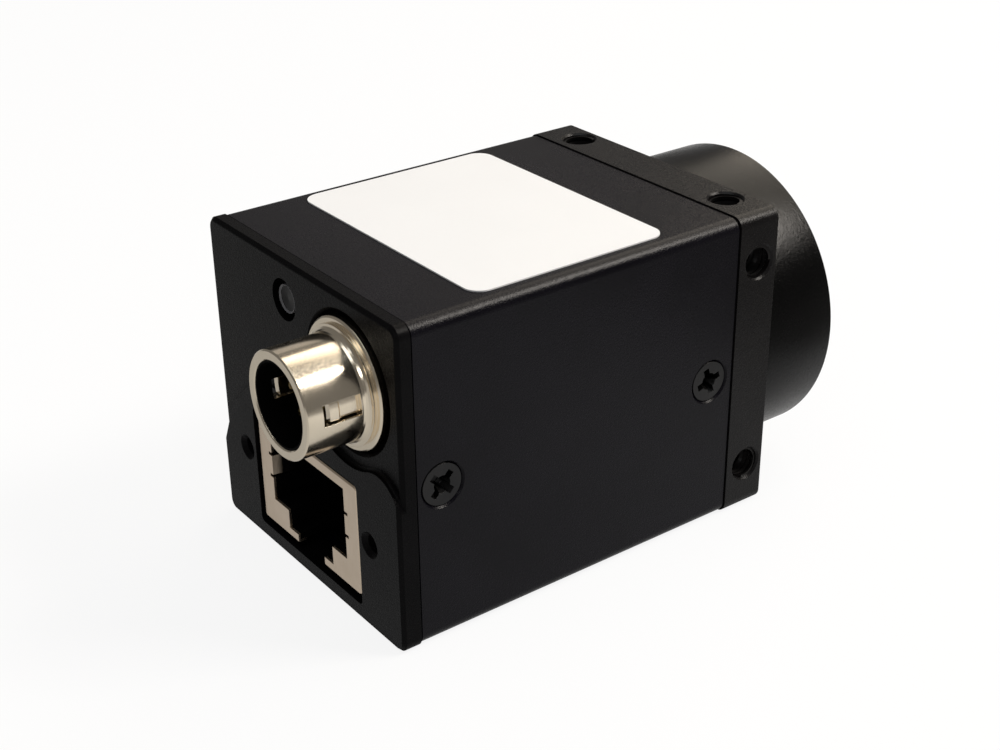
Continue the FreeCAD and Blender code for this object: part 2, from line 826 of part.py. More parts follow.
def io_insulator():
    back = rear_face - io_flange_thickness - io_barrel_length
    outer = io_bore_radius - io_insulator_fit
    body = rod(outer, back, rear_face + io_insulator_front, io_x, io_z)
    liner = tube(outer, outer - liner_thickness, rear_face + io_insulator_front,
                 rear_face + io_reach - liner_set_back, io_x, io_z)
    for turn in (0, 180):
        liner = liner.cut(about_io_axis(latch_window(), turn))
    body = body.fuse(liner)
    for x, z in pin_places():
        body = body.cut(rod(io_pin_radius + io_pin_fit, back, rear_face + io_insulator_front, x, z))
    return body


def io_board_front():
    return rear_face - io_flange_thickness - io_barrel_length - io_board_thickness


def io_pins():
    """Round-nosed pins from the little board to just inside the mouth."""
    solids = []
    for x, z in pin_places():
        tip = rear_face + io_reach - io_pin_set_back
        pin = rod(io_pin_radius, io_board_front() - io_pin_tail, tip, x, z)
        solids.append(chamfer_end(pin, tip, io_pin_radius / 2))
    return solids


def io_nut():
    """Slotted ring nut inside the cover."""
    front = plate_inside - io_nut_thickness
    nut = tube(io_nut_radius, io_shell_radius + io_pin_fit, front, plate_inside, io_x, io_z)
    slot = bar(io_x - io_nut_slot / 2, io_x + io_nut_slot / 2, front, front + io_nut_thickness / 2,
               io_z - io_nut_radius, io_z + io_nut_radius)
    return nut.cut(slot)


def io_board():
    y0 = io_board_front()
    plate = bar(io_x - io_board_half, io_x + io_board_half, y0, y0 + io_board_thickness,
                io_z - io_board_half, io_z + io_board_half, 2 * cutout_radius)
    for x, z in pin_places():
        plate = plate.cut(rod(io_pin_radius + io_pin_fit, y0, y0 + io_board_thickness, x, z))
    return plate


def io_header():
    """Spacer header that carries the little board on the interface board."""
    z = io_z - io_header_drop
    return bar(io_x - io_header_width / 2, io_x + io_header_width / 2, interface_board_rear,
               io_board_front(), z - io_header_height / 2, z + io_header_height / 2)


# ---------------------------------------------------------------- status light, screws, label

def status_light():
    """Light pipe from just above the diode to just below the face, and the diode."""
    led_top = interface_board_rear + led_height
    pipe_end = low_face - light_pipe_recess
    pipe = rod(light_pipe_radius, led_top + led_gap, pipe_end, light_x, light_z)
    pipe = chamfer_end(pipe, pipe_end, light_pipe_edge)
    led = bar(light_x - led_width / 2, light_x + led_width / 2, interface_board_rear, led_top,
              light_z - led_depth / 2, light_z + led_depth / 2)
    return pipe, led


def side_screws(y):
    """A pair of countersunk screws, one on each side of the sleeve."""
    solids = []
    for side in sides():
        inward = V(-side, 0, 0)
        top = V(side * (sleeve_half_x - side_head_recess), y, 0)
        cone = side_head_radius - side_shank_radius
        head = Part.makeCone(side_head_radius, side_shank_radius, cone, top, inward)
        shank = Part.makeCylinder(side_shank_radius, side_screw_length - side_head_recess, top, inward)
        solids.append(head.fuse(shank))
    return solids


def label():
    middle = (block_rear + cover_seam) / 2
    top = sleeve_half_z
    plate = Part.makeBox(label_width, label_length, label_thickness,
                         V(-label_width / 2, middle - label_length / 2, top))
    uprights = [edge for edge in plate.Edges if abs(edge.Vertexes[0].Z - edge.Vertexes[1].Z) > 1e-6]
    return plate.makeFillet(label_radius, uprights)


def main():
    os.makedirs("parts", exist_ok=True)
    save("front_block", front_block())
    save("lens_mount_ring", lens_mount_ring())
    seal, glass, retainer = filter_stack()
    save("filter_seal", seal)
    save("filter_glass", glass)
    save("filter_retainer", retainer)
    package, die, lid, gasket = sensor_parts()
    save("sensor_package", package)
    save("sensor_die", die)
    save("sensor_lid", lid)
    save("sensor_gasket", gasket)
    save("sensor_board", board(sensor_board_front, sensor_board_thickness))
    save("front_spacers", *spacers(sensor_board_rear, processor_board_front))
    save("front_stack_connector", stack_connector(sensor_board_rear, processor_board_front))
    save("processor_board", board(processor_board_front, processor_board_thickness))
    save("memory_chips", *memory_chips())
    chip, pad, spreader = heat_path()
    save("processor_chip", chip)
    save("thermal_pad", pad)
    save("heat_spreader", spreader)
    save("rear_spacers", *spacers(processor_board_rear, interface_board_front))
    save("rear_stack_connector", stack_connector(processor_board_rear, interface_board_front))
    save("interface_board", board(interface_board_front, interface_board_thickness))
    save("board_screws", *board_screws())
    save("network_transformer", transformer())
    inductors, capacitors = power_parts()
    save("power_inductors", *inductors)
    save("power_capacitors", *capacitors)
    save("housing_sleeve", housing_sleeve())
    save("rear_cover", rear_cover())
    save("jack_body", jack_body())
    save("jack_shield", jack_shield())
    save("jack_contacts", *jack_contacts())
    save("io_shell", io_shell())
    save("io_insulator", io_insulator())
    save("io_pins", *io_pins())
    save("io_nut", io_nut())
    save("io_board", io_board())
    save("io_header", io_header())
    pipe, led = status_light()
    save("light_pipe", pipe)
    save("status_led", led)
    save("front_side_screws", *side_screws(side_screw_y[0]))
    save("rear_side_screws", *side_screws(side_screw_y[1]))
    save("label", label())


main()
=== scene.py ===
import math

import bmesh
import bpy
from mathutils import Matrix, Vector


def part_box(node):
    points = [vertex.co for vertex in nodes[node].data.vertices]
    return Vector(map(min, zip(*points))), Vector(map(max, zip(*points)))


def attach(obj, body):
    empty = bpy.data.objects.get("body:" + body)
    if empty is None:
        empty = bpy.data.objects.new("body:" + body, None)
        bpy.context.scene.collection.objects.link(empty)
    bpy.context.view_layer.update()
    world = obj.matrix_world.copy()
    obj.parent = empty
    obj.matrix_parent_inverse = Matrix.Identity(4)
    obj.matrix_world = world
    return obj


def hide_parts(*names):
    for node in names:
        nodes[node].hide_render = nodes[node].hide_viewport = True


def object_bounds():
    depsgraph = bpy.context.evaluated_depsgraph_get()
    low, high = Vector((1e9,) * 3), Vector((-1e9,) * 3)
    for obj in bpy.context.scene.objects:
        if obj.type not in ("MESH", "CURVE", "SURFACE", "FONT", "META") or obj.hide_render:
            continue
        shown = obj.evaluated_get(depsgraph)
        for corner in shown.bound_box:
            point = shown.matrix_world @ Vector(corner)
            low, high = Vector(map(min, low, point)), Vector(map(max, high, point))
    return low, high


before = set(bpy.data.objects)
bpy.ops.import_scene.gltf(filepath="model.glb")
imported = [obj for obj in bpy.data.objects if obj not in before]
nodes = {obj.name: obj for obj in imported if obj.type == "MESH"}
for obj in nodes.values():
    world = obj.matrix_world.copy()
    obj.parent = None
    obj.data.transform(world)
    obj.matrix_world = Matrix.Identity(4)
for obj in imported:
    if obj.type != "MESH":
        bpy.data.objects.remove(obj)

cad_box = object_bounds()
MM = 0.001


# Studio. The camera stands behind and above the connector side; the floor is a white sweep that
# keeps a soft shadow, and soft panels with a pale surround light the black housing.
def direction(azimuth, elevation):
    a, e = math.radians(azimuth), math.radians(elevation)
    return Vector((math.sin(a) * math.cos(e), -math.cos(a) * math.cos(e), math.sin(e)))


camera_place = Vector((-0.103734, 0.10487, 0.065174))
camera_azimuth, camera_elevation, camera_roll = 233.459, 27.274, -0.591
backward = direction(camera_azimuth, camera_elevation)
rightward = Vector((0, 0, 1)).cross(backward).normalized()
upward = backward.cross(rightward)
roll = math.radians(camera_roll)
right_rolled = math.cos(roll) * rightward + math.sin(roll) * upward
up_rolled = -math.sin(roll) * rightward + math.cos(roll) * upward
camera_data = bpy.data.cameras.new("studio_camera")
camera_data.lens = 58.14
camera_data.sensor_width = 36.0
camera_data.sensor_fit = "HORIZONTAL"
camera_data.clip_start = 0.002
camera_data.clip_end = 20.0
camera = bpy.data.objects.new("studio_camera", camera_data)
camera.matrix_world = Matrix((right_rolled, up_rolled, backward)).transposed().to_4x4()
camera.location = camera_place
bpy.context.scene.collection.objects.link(camera)
bpy.context.scene.camera = camera
bpy.context.scene.view_settings.view_transform = "Standard"


def softbox(name, place, target, size_x, size_y, power, colour=(1, 1, 1)):
    data = bpy.data.lights.new(name, "AREA")
    data.shape = "RECTANGLE"
    data.size, data.size_y = size_x, size_y
    data.energy = power
    data.color = colour
    lamp = bpy.data.objects.new(name, data)
    lamp.location = place
    lamp.rotation_mode = "QUATERNION"
    lamp.rotation_quaternion = (Vector(target) - Vector(place)).to_track_quat("-Z", "Y")
    bpy.context.scene.collection.objects.link(lamp)


middle = (0, 0.027, 0)
softbox("key_panel", (-0.05, 0.10, 0.55), middle, 0.45, 0.45, 1.0, (0.95, 0.98, 1.0))
softbox("rear_panel", (-0.31, 0.43, 0.30), middle, 0.12, 0.12, 0.30, (1.0, 0.99, 0.98))
softbox("front_strip", (0.09, -0.48, 0.60), middle, 0.80, 0.42, 2.5, (1.0, 0.91, 0.78))
softbox("low_panel", (0.32, -0.57, 0.28), middle, 0.26, 0.16, 0.34, (1.0, 0.88, 0.72))
softbox("side_panel", (0.56, -0.33, 0.33), middle, 0.24, 0.22, 0.05, (1.0, 0.93, 0.86))
softbox("edge_panel", (-0.32, -0.37, 0.52), middle, 0.22, 0.22, 4.0, (1.0, 0.94, 0.87))

world = bpy.data.worlds.new("studio_surround")
bpy.context.scene.world = world
world.use_nodes = True
surround = world.node_tree.nodes["Background"]
surround.inputs["Color"].default_value = (1.0, 0.97, 0.94, 1)
surround.inputs["Strength"].default_value = 0.16

floor_mesh = bpy.data.meshes.new("white_floor")
floor_reach, floor_gap = 2.0, 0.03 * MM
floor_z = cad_box[0].z - floor_gap
floor_corners = [(x * floor_reach, y * floor_reach, floor_z) for x, y in ((-1, -1), (1, -1), (1, 1), (-1, 1))]
floor_mesh.from_pydata(floor_corners, [], [(0, 1, 2, 3)])
floor = bpy.data.objects.new("white_floor", floor_mesh)
bpy.context.scene.collection.objects.link(floor)
floor_paint = bpy.data.materials.new("white_sweep")
floor_paint.use_nodes = True
tree = floor_paint.node_tree
tree.nodes.clear()


def floor_math(operation, a, b):
    made = tree.nodes.new("ShaderNodeMath")
    made.operation = operation
    for socket, value in zip(made.inputs, (a, b)):
        if isinstance(value, bpy.types.NodeSocket):
            tree.links.new(value, socket)
        else:
            socket.default_value = value
    return made.outputs[0]


ground = tree.nodes.new("ShaderNodeTexCoord")


def floor_fade(heading, start, end, start_value=0.0, end_value=1.0):
    """A value that runs from start_value to end_value between two distances along a heading."""
    distance = tree.nodes.new("ShaderNodeVectorMath")
    distance.operation = "DOT_PRODUCT"
    distance.inputs[1].default_value = heading
    tree.links.new(ground.outputs["Object"], distance.inputs[0])
    ramp = tree.nodes.new("ShaderNodeMapRange")
    tree.links.new(distance.outputs["Value"], ramp.inputs["Value"])
    limits = {"From Min": start, "From Max": end, "To Min": start_value, "To Max": end_value}
    for key, value in limits.items():
        ramp.inputs[key].default_value = value
    return ramp.outputs["Result"]


# The floor is a soft white to the camera. In reflections it is dimmer and falls off towards +X and +Y, and a
# painted shade darkens it further in the -X, -Y corner beside the lens ring.
camera_share, mirror_share, corner_dimming = 0.88, 0.85, 0.85
rays = tree.nodes.new("ShaderNodeLightPath")
mirrored = floor_math("MAXIMUM", rays.outputs["Is Glossy Ray"], rays.outputs["Is Transmission Ray"])
share = floor_math("ADD", floor_math("MULTIPLY", rays.outputs["Is Camera Ray"], camera_share),
                   floor_math("MULTIPLY", mirrored, mirror_share))
fall_off = floor_fade((0.7, 0.7, 0), -0.05, 0.08, 0.70, 0.34)
corner = floor_math("MULTIPLY", floor_fade((1, 0, 0), -0.020, -0.032), floor_fade((0, 1, 0), -0.006, -0.016))
dim_corner = floor_math("SUBTRACT", 1.0, floor_math("MULTIPLY", corner, corner_dimming))
lit = tree.nodes.new("ShaderNodeBsdfDiffuse")
lit.inputs["Color"].default_value = (0.82, 0.82, 0.82, 1)
glow = tree.nodes.new("ShaderNodeEmission")
tree.links.new(floor_math("MAXIMUM", rays.outputs["Is Camera Ray"],
                          floor_math("MULTIPLY", fall_off, dim_corner)), glow.inputs["Strength"])
mix = tree.nodes.new("ShaderNodeMixShader")
tree.links.new(share, mix.inputs["Fac"])
tree.links.new(lit.outputs[0], mix.inputs[1])
tree.links.new(glow.outputs[0], mix.inputs[2])
out = tree.nodes.new("ShaderNodeOutputMaterial")
tree.links.new(mix.outputs[0], out.inputs["Surface"])
floor_mesh.materials.append(floor_paint)


# Front block. Aluminium milled from bar, bead blasted and dyed black; it carries the lens ring
# and is fixed in the sleeve by two side screws. Its eight edge holes are tapped M3.
class Finish:
    """A procedural finish: a principled shader with object-space noise behind its sockets."""

    def __init__(self, name):
        self.material = bpy.data.materials.new(name)
        self.material.use_nodes = True
        self.tree = self.material.node_tree
        self.shader = self.tree.nodes["Principled BSDF"]
        self.place = self.tree.nodes.new("ShaderNodeTexCoord").outputs["Object"]
        self.normal = None

    def node(self, kind, **inputs):
        made = self.tree.nodes.new(kind)
        for key, value in inputs.items():
            made.inputs[key.replace("_", " ")].default_value = value
        return made

    def link(self, source, target):
        self.tree.links.new(source, target)

    def set(self, **sockets):
        for key, value in sockets.items():
            self.shader.inputs[key.replace("_", " ")].default_value = value

    def noise(self, size, detail=2.0, roughness=0.5, stretch=(1, 1, 1)):
        """Noise whose grains are about size metres across."""
        mapping = self.tree.nodes.new("ShaderNodeMapping")
        mapping.inputs["Scale"].default_value = stretch
        self.link(self.place, mapping.inputs["Vector"])
        noise = self.node("ShaderNodeTexNoise", Scale=1 / size, Detail=detail, Roughness=roughness)
        self.link(mapping.outputs["Vector"], noise.inputs["Vector"])
        return noise.outputs["Fac"]

    def spread(self, source, low, high, lowest, highest):
        ramp = self.node("ShaderNodeMapRange", From_Min=low, From_Max=high, To_Min=lowest, To_Max=highest)
        self.link(source, ramp.inputs["Value"])
        return ramp.outputs["Result"]

    def tint(self, factor, dark, light):
        mix = self.tree.nodes.new("ShaderNodeMix")
        mix.data_type = "RGBA"
        mix.inputs[6].default_value = (*dark, 1)
        mix.inputs[7].default_value = (*light, 1)
        self.link(factor, mix.inputs[0])
        return mix.outputs[2]

    def over(self, factor, below, above):
        mix = self.tree.nodes.new("ShaderNodeMix")
        mix.data_type = "RGBA"
        self.link(below, mix.inputs[6])
        mix.inputs[7].default_value = (*above, 1)
        self.link(factor, mix.inputs[0])
        return mix.outputs[2]

    def soften(self, width):
        """Round the look of sharp edges over width metres."""
        bevel = self.node("ShaderNodeBevel", Radius=width)
        bevel.samples = 4
        self.normal = bevel.outputs["Normal"]

    def bump(self, source, distance, strength=1.0):
        made = self.node("ShaderNodeBump", Strength=strength, Distance=distance)
        self.link(source, made.inputs["Height"])
        if self.normal is not None:
            self.link(self.normal, made.inputs["Normal"])
        self.normal = made.outputs["Normal"]
        self.link(self.normal, self.shader.inputs["Normal"])

    def colour(self, source):
        self.link(source, self.shader.inputs["Base Color"])

    def roughness(self, source):
        self.link(source, self.shader.inputs["Roughness"])


def blasted_anodise(name, dark, light, matte, gloss_level, grain=0.00020, relief=0.000034, shade_reach=0.0006):
    """Black dyed anodise over a bead-blasted surface: fine pits, cloudy dye, and a painted shade in corners,
    where ambient occlusion turns the gloss down.
    """
    finish = Finish(name)
    pits = finish.noise(grain, 4.0, 0.7)
    clouds = finish.noise(0.009, 4.0, 0.6)
    finish.colour(finish.tint(finish.spread(clouds, 0.3, 0.7, 0, 1), dark, light))
    mixed = finish.node("ShaderNodeMath")
    mixed.operation = "ADD"
    finish.link(finish.spread(pits, 0.3, 0.7, -0.06, 0.06), mixed.inputs[0])
    finish.link(finish.spread(clouds, 0.3, 0.7, matte - 0.04, matte + 0.04), mixed.inputs[1])
    finish.roughness(mixed.outputs[0])
    # Painted shade: ambient occlusion turns the gloss down in corners, holes and steps so they read dark.
    corners = finish.tree.nodes.new("ShaderNodeAmbientOcclusion")
    corners.samples = 8
    corners.inputs["Distance"].default_value = shade_reach
    finish.link(finish.spread(corners.outputs["AO"], 0.45, 0.95, 0.0, gloss_level),
                finish.shader.inputs["Specular IOR Level"])
    finish.soften(0.00005)
    finish.bump(pits, relief, 0.8)
    return finish.material


def paint(node, material):
    """Give a CAD node its finish."""
    for place in nodes[node].material_slots:
        place.material = material


def new_piece(name, mesh, material=None, angle=35.0):
    """A finished mesh piece, smooth except along edges sharper than angle degrees."""
    mesh.shade_smooth()
    mesh.set_sharp_from_angle(angle=math.radians(angle))
    piece = bpy.data.objects.new(name, mesh)
    bpy.context.scene.collection.objects.link(piece)
    if material:
        mesh.materials.clear()
        mesh.materials.append(material)
    return piece


class Recipe:
    """A Geometry Nodes tree with named inputs, built step by step."""

    def __init__(self, name, **sizes):
        self.tree = bpy.data.node_groups.new(name, "GeometryNodeTree")
        face = self.tree.interface
        face.new_socket("Places", in_out="INPUT", socket_type="NodeSocketGeometry")
        self.keys = {}
        for key in sizes:
            made = face.new_socket(key, in_out="INPUT", socket_type="NodeSocketFloat")
            self.keys[key] = made.identifier
        finish_socket = face.new_socket("Finish", in_out="INPUT", socket_type="NodeSocketMaterial")
        self.finish_key = finish_socket.identifier
        face.new_socket("Pieces", in_out="OUTPUT", socket_type="NodeSocketGeometry")
        self.sizes = sizes
        self.given = self.tree.nodes.new("NodeGroupInput")
        self.result = self.tree.nodes.new("NodeGroupOutput")

    def __getitem__(self, key):
        return self.given.outputs[key]

    def add(self, kind, settings=None, **inputs):
        made = self.tree.nodes.new(kind)
        for key, value in (settings or {}).items():
            setattr(made, key, value)
        for key, value in inputs.items():
            self.feed(made, key.replace("_", " "), value)
        return made

    def feed(self, node, key, value):
        socket = node.inputs[int(key[1:])] if key[:1] == "#" else node.inputs[key]
        if isinstance(value, bpy.types.NodeSocket):
            self.tree.links.new(value, socket)
        else:
            socket.default_value = value

    def math(self, operation, a, b=0.0):
        made = self.add("ShaderNodeMath", {"operation": operation})
        self.feed(made, "#0", a)
        self.feed(made, "#1", b)
        return made.outputs[0]

    def vector(self, x=0.0, y=0.0, z=0.0):
        return self.add("ShaderNodeCombineXYZ", X=x, Y=y, Z=z).outputs[0]

    def finish_at_places(self, shape):
        """Stand a copy of shape on every place, turned along the place's own axis."""
        axis = self.add("GeometryNodeInputNamedAttribute", {"data_type": "FLOAT_VECTOR"}, Name="along")
        spin = self.add("GeometryNodeInputNamedAttribute", {"data_type": "FLOAT"}, Name="spin")
        spun = self.add("FunctionNodeAxisAngleToRotation", Axis=(0, 0, 1), Angle=spin.outputs["Attribute"])
        aimed = self.add("FunctionNodeAlignRotationToVector", {"axis": "Z"}, Vector=axis.outputs["Attribute"])
        turn = self.add("FunctionNodeRotateRotation", {"rotation_space": "LOCAL"},
                        Rotation=aimed.outputs[0], Rotate_By=spun.outputs[0])
        copies = self.add("GeometryNodeInstanceOnPoints", Points=self["Places"], Instance=shape,
                          Rotation=turn.outputs[0])
        real = self.add("GeometryNodeRealizeInstances", Geometry=copies.outputs[0])
        painted = self.add("GeometryNodeSetMaterial", Geometry=real.outputs[0], Material=self["Finish"])
        self.tree.links.new(painted.outputs[0], self.result.inputs["Pieces"])

    def make(self, name, places, material, angle=35.0):
        """Run the tree on places, a list of (point, axis, spin), and keep the result as a plain mesh."""
        mesh = bpy.data.meshes.new(name + "_places")
        mesh.from_pydata([tuple(place[0]) for place in places], [], [])
        mesh.attributes.new("along", "FLOAT_VECTOR", "POINT")
        mesh.attributes.new("spin", "FLOAT", "POINT")
        along, spin = mesh.attributes["along"], mesh.attributes["spin"]
        for i, (point, axis, angle_about) in enumerate(places):
            along.data[i].vector = axis
            spin.data[i].value = math.radians(angle_about)
        holder = bpy.data.objects.new(name + "_places", mesh)
        bpy.context.scene.collection.objects.link(holder)
        recipe = holder.modifiers.new("recipe", "NODES")
        recipe.node_group = self.tree
        for key, value in self.sizes.items():
            recipe[self.keys[key]] = value
        recipe[self.finish_key] = material
        depsgraph = bpy.context.evaluated_depsgraph_get()
        made = bpy.data.meshes.new_from_object(holder.evaluated_get(depsgraph), depsgraph=depsgraph)
        bpy.data.objects.remove(holder)
        made.name = name
        for extra in [a.name for a in made.attributes if a.name in ("along", "spin")]:
            made.attributes.remove(made.attributes[extra])
        return new_piece(name, made, None, angle)


def thread_recipe(name, radius, pitch, length):
    """A tapped thread's ridge: a coil of triangular section that stands in from the hole's wall."""
    recipe = Recipe(name, Radius=radius, Pitch=pitch, Length=length)
    turns = recipe.math("DIVIDE", recipe["Length"], recipe["Pitch"])
    coil = recipe.add("GeometryNodeCurveSpiral", Resolution=28, Rotations=turns,
                      Start_Radius=recipe["Radius"], End_Radius=recipe["Radius"], Height=recipe["Length"])
    ridge = recipe.add("GeometryNodeCurvePrimitiveCircle", {"mode": "RADIUS"}, Resolution=3,
                       Radius=recipe.math("MULTIPLY", recipe["Pitch"], 0.42))
    swept = recipe.add("GeometryNodeCurveToMesh", Curve=coil.outputs[0], Profile_Curve=ridge.outputs[0],
                       Fill_Caps=True)
    recipe.finish_at_places(swept.outputs[0])
    return recipe


block_low, block_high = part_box("front_block")
fixing_y = block_low.y + 2.3 * MM
fixing_offset, face, thread_depth, mouth_depth = 10.0 * MM, block_high.x, 2.2 * MM, 0.25 * MM
fixing_radius, fixing_pitch = 1.43 * MM, 0.5 * MM
fixing_places = []
for along in (-fixing_offset, fixing_offset):
    for side in (-1, 1):
        start = side * (face - mouth_depth - thread_depth)
        fixing_places.append(((along, fixing_y, start), (0, 0, side), 40.0 * along / face))
        fixing_places.append(((start, fixing_y, along), (side, 0, 0), 70.0 * along / face))
worn_thread = Finish("cut_thread")
worn_thread.colour(worn_thread.tint(worn_thread.noise(0.0006), (0.006, 0.006, 0.006), (0.016, 0.015, 0.015)))
worn_thread.set(Roughness=0.35, Specular_IOR_Level=0.16)
fixing_threads = thread_recipe("m3_thread", fixing_radius, fixing_pitch, thread_depth).make(
    "fixing_threads", fixing_places, worn_thread.material)
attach(fixing_threads, "root")

block_black = blasted_anodise("block_anodise", (0.0032, 0.0029, 0.0032), (0.0062, 0.0056, 0.0058), 0.28, 0.16,
                              shade_reach=0.0012)
paint("front_block", block_black)


# Lens mount ring. Turned aluminium, dyed black with a finer, glossier surface than the housing;
# pressed into the block. Inside is the 1 inch - 32 thread with a run-out groove behind it.
ring_black = blasted_anodise("ring_anodise", (0.0003, 0.0003, 0.0003), (0.0007, 0.0006, 0.0007), 0.22, 0.17,
                             grain=0.00028, relief=0.000040)


def turned_piece(name, outline, material, x=0.0, z=0.0, segments=160, round_off=0.06 * MM):
    """Turn a closed outline of (radius, y) about a line along Y, its corners rounded a little."""
    rounded = []
    count = len(outline)
    for i, (r, y) in enumerate(outline):
        arms = []
        for other in (outline[i - 1], outline[(i + 1) % count]):
            length = math.hypot(other[0] - r, other[1] - y)
            step = min(round_off, 0.4 * length) / length
            arms.append((r + (other[0] - r) * step, y + (other[1] - y) * step))
        for t in (0.0, 0.33, 0.67, 1.0):
            a, b = (1 - t) ** 2, t ** 2
            rounded.append((a * arms[0][0] + 2 * t * (1 - t) * r + b * arms[1][0],
                            a * arms[0][1] + 2 * t * (1 - t) * y + b * arms[1][1]))
    body = bmesh.new()
    rings = []
    for i in range(segments):
        turn = 2 * math.pi * i / segments
        rings.append([body.verts.new((x + r * math.cos(turn), y, z + r * math.sin(turn)))
                      for r, y in rounded])
    for i in range(segments):
        here, there = rings[i], rings[(i + 1) % segments]
        for j in range(len(rounded)):
            k = (j + 1) % len(rounded)
            body.faces.new((here[j], here[k], there[k], there[j]))
    bmesh.ops.remove_doubles(body, verts=body.verts, dist=1e-8)
    bmesh.ops.recalc_face_normals(body, faces=body.faces)
    mesh = bpy.data.meshes.new(name)
    body.to_mesh(mesh)
    body.free()
    return new_piece(name, mesh, material)


ring_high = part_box("lens_mount_ring")[1]
ring_radius, flange_y, ring_chamfer = ring_high.x, block_low.y, 0.35 * MM
thread_crest, thread_root, thread_end = 12.33 * MM, 12.68 * MM, 5.0 * MM
lens_pitch = 25.4 / 32 * MM
tail_radius, aperture_radius, groove_radius, groove_end = 12.45 * MM, 11.0 * MM, 12.72 * MM, 5.8 * MM
ring_outline = [(thread_root, 0), (ring_radius - ring_chamfer, 0), (ring_radius, ring_chamfer),
                (ring_radius, flange_y), (tail_radius, flange_y), (tail_radius, ring_high.y),
                (aperture_radius, ring_high.y), (aperture_radius, groove_end), (groove_radius, groove_end),
                (groove_radius, thread_end), (thread_root, thread_end)]
ring = turned_piece("lens_ring_body", ring_outline, ring_black)
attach(ring, "root")
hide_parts("lens_mount_ring")


def lens_thread_mesh():
    """The internal thread as one helical ridge: rows along the axis, columns round it."""
    columns, rows_per_turn = 180, 8
    rows = int(round((thread_end / lens_pitch) * rows_per_turn)) + 1
    body = bmesh.new()
    grid = []
    for j in range(rows):
        y = thread_end * j / (rows - 1)
        row = []
        for i in range(columns):
            phase = (y / lens_pitch - i / columns) % 1.0
            height = max(0.0, 1.0 - abs(phase - 0.5) / 0.38)
            fade = min(1.0, y / (0.5 * lens_pitch), (thread_end - y) / (0.5 * lens_pitch))
            radius = thread_root - (thread_root - thread_crest) * min(1.0, 1.15 * height) * fade
            turn = 2 * math.pi * i / columns
            row.append(body.verts.new((radius * math.cos(turn), y, radius * math.sin(turn))))
        grid.append(row)
    back_radius = thread_root + 0.02 * MM
    back = []
    for y in (0, thread_end):
        turns = [2 * math.pi * i / columns for i in range(columns)]
        back.append([body.verts.new((back_radius * math.cos(turn), y, back_radius * math.sin(turn)))
                     for turn in turns])
    loops = grid + [back[1], back[0], grid[0]]
    for low, high in zip(loops, loops[1:]):
        for i in range(columns):
            k = (i + 1) % columns
            body.faces.new((low[i], low[k], high[k], high[i]))
    bmesh.ops.recalc_face_normals(body, faces=body.faces)
    mesh = bpy.data.meshes.new("lens_thread")
    body.to_mesh(mesh)
    body.free()
    return mesh


lens_thread = new_piece("lens_thread", lens_thread_mesh(), ring_black, 40.0)
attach(lens_thread, "root")

# Optical filter and sensor. A coated glass rests on a rubber seal and is held by a slotted black
# retainer screwed into the block. Behind it the sensor sits in a ceramic package under its own
# lid, with a dust gasket round it.
paint("filter_retainer", ring_black)


def soft_black(name, shade, matte, grain, gloss_level=0.5):
    finish = Finish(name)
    finish.set(Specular_IOR_Level=gloss_level)
    specks = finish.noise(grain, 4.0, 0.6)
    finish.colour(finish.tint(specks, tuple(0.7 * c for c in shade), shade))
    finish.roughness(finish.spread(specks, 0.2, 0.8, matte - 0.06, matte + 0.06))
    finish.bump(specks, 0.000008, 0.5)
    return finish.material


def clear(name, colour, roughness=0.02, ior=1.5):
    finish = Finish(name)
    film = finish.noise(0.004, 2.0)
    finish.set(Transmission_Weight=1.0, IOR=ior, Base_Color=(*colour, 1))
    finish.roughness(finish.spread(film, 0.3, 0.7, roughness, roughness + 0.02))
    return finish.material


rubber = soft_black("seal_rubber", (0.02, 0.02, 0.02), 0.8, 0.0002)
paint("filter_seal", rubber)
paint("sensor_gasket", rubber)
paint("filter_glass", clear("filter_coated_glass", (0.72, 0.93, 0.90)))
paint("sensor_lid", clear("lid_glass", (0.95, 0.97, 0.96)))
silicon = Finish("sensor_silicon")
pixel_lines = silicon.noise(0.00004, 1.0)
silicon.colour(silicon.tint(pixel_lines, (0.16, 0.13, 0.22), (0.20, 0.24, 0.26)))
silicon.set(Metallic=0.9, Roughness=0.18)
paint("sensor_die", silicon.material)
paint("sensor_package", soft_black("package_ceramic", (0.20, 0.18, 0.17), 0.6, 0.0003))

# Boards inside. Three glass-epoxy boards and a small carrier, all under green solder mask, stacked
# on brass spacers with steel screws. Their chips, coils and connectors don't show from outside.
board = Finish("solder_mask")
weave = board.noise(0.0008, 2.0)
board.colour(board.tint(weave, (0.012, 0.075, 0.030), (0.02, 0.11, 0.045)))
board.set(Roughness=0.35)
board.bump(weave, 0.00001, 0.3)
for name in ("sensor_board", "processor_board", "interface_board", "io_board"):
    paint(name, board.material)


